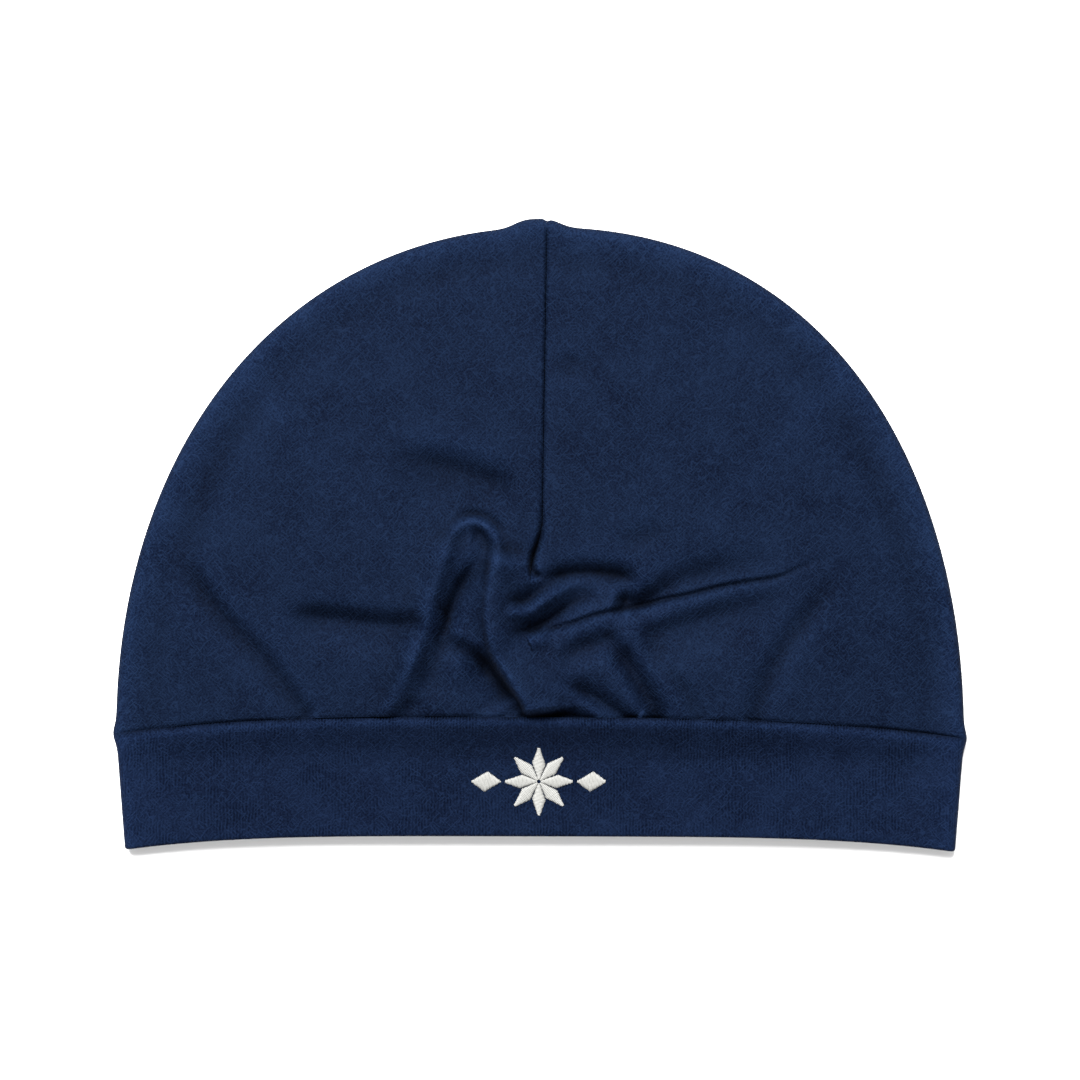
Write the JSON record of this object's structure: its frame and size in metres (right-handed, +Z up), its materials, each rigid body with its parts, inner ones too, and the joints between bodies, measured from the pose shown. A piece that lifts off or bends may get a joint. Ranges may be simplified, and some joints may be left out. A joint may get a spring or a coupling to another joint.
{
  "type": "knit skull cap",
  "caption": "Soft knit skull cap lying flat: rounded crown joined along a centre seam, creased above a wide doubled band, with a raised embroidered star motif on the band.",
  "frame": {"origin": "on the resting surface, under the centre of the cap's box", "axes": "+Z up from the surface the cap lies on, +Y from the head opening to the top of the crown, +X to the right seen from above"},
  "size_m": [0.23, 0.1705, 0.0214],
  "materials": {
    "crown_knit": "matt brushed navy knit",
    "band_knit": "matt navy rib knit, doubled",
    "embroidery_thread": "white satin stitch with a soft sheen"
  },
  "bodies": {
    "root": {"crown_left_panel": "crown_knit", "crown_right_panel": "crown_knit", "band": "band_knit", "motif_star": "embroidery_thread", "motif_diamond_left": "embroidery_thread", "motif_diamond_right": "embroidery_thread"}
  },
  "joints": []
}
